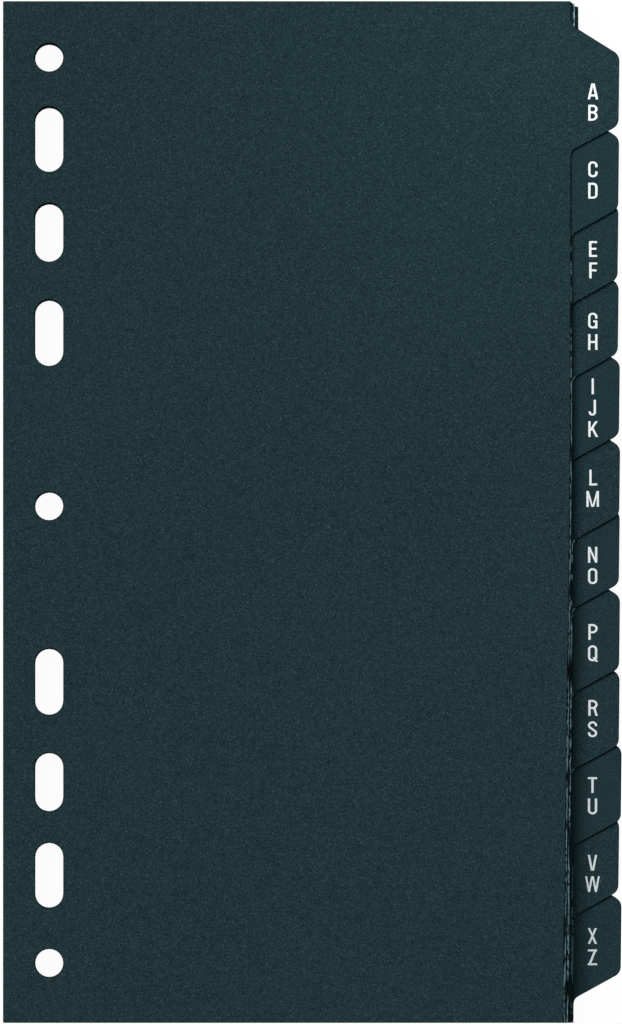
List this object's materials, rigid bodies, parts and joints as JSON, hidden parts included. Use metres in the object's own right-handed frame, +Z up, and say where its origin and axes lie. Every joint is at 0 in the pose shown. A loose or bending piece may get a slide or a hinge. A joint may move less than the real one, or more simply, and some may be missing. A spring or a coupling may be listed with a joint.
{
  "type": "index divider set",
  "caption": "Stack of dark plastic index dividers with stepped alphabet tabs, punched along one edge for the rings of a pocket organiser or telephone book.",
  "frame": {"origin": "middle of the stack's footprint, on the surface that the back leaf lies on", "axes": "+X from the punched binding edge towards the tabs, +Y towards the head of the leaves, where the first tab is, +Z up, out of the front leaf"},
  "size_m": [0.1036, 0.1712, 0.0077],
  "materials": {
    "leaf_plastic": "fine matt grain"
  },
  "bodies": {
    "divider_x_z": {"divider_x_z": "leaf_plastic"},
    "divider_v_w": {"divider_v_w": "leaf_plastic"},
    "divider_t_u": {"divider_t_u": "leaf_plastic"},
    "divider_r_s": {"divider_r_s": "leaf_plastic"},
    "divider_p_q": {"divider_p_q": "leaf_plastic"},
    "divider_n_o": {"divider_n_o": "leaf_plastic"},
    "divider_l_m": {"divider_l_m": "leaf_plastic"},
    "divider_i_j_k": {"divider_i_j_k": "leaf_plastic"},
    "divider_g_h": {"divider_g_h": "leaf_plastic"},
    "divider_e_f": {"divider_e_f": "leaf_plastic"},
    "divider_c_d": {"divider_c_d": "leaf_plastic"},
    "divider_a_b": {"divider_a_b": "leaf_plastic"}
  },
  "joints": [
    {"name": "turn_v_w", "type": "hinge", "parent": "divider_x_z", "child": "divider_v_w", "pos_m": [-0.05462, 0, 0.00382], "axis": [0, -1, 0], "range_deg": [0, 180]},
    {"name": "turn_t_u", "type": "hinge", "parent": "divider_v_w", "child": "divider_t_u", "pos_m": [-0.05462, 0, 0.00382], "axis": [0, -1, 0], "range_deg": [0, 180]},
    {"name": "turn_r_s", "type": "hinge", "parent": "divider_t_u", "child": "divider_r_s", "pos_m": [-0.05462, 0, 0.00382], "axis": [0, -1, 0], "range_deg": [0, 180]},
    {"name": "turn_p_q", "type": "hinge", "parent": "divider_r_s", "child": "divider_p_q", "pos_m": [-0.05462, 0, 0.00382], "axis": [0, -1, 0], "range_deg": [0, 180]},
    {"name": "turn_n_o", "type": "hinge", "parent": "divider_p_q", "child": "divider_n_o", "pos_m": [-0.05462, 0, 0.00382], "axis": [0, -1, 0], "range_deg": [0, 180]},
    {"name": "turn_l_m", "type": "hinge", "parent": "divider_n_o", "child": "divider_l_m", "pos_m": [-0.05462, 0, 0.00382], "axis": [0, -1, 0], "range_deg": [0, 180]},
    {"name": "turn_i_j_k", "type": "hinge", "parent": "divider_l_m", "child": "divider_i_j_k", "pos_m": [-0.05462, 0, 0.00382], "axis": [0, -1, 0], "range_deg": [0, 180]},
    {"name": "turn_g_h", "type": "hinge", "parent": "divider_i_j_k", "child": "divider_g_h", "pos_m": [-0.05462, 0, 0.00382], "axis": [0, -1, 0], "range_deg": [0, 180]},
    {"name": "turn_e_f", "type": "hinge", "parent": "divider_g_h", "child": "divider_e_f", "pos_m": [-0.05462, 0, 0.00382], "axis": [0, -1, 0], "range_deg": [0, 180]},
    {"name": "turn_c_d", "type": "hinge", "parent": "divider_e_f", "child": "divider_c_d", "pos_m": [-0.05462, 0, 0.00382], "axis": [0, -1, 0], "range_deg": [0, 180]},
    {"name": "turn_a_b", "type": "hinge", "parent": "divider_c_d", "child": "divider_a_b", "pos_m": [-0.05462, 0, 0.00382], "axis": [0, -1, 0], "range_deg": [0, 180]}
  ]
}
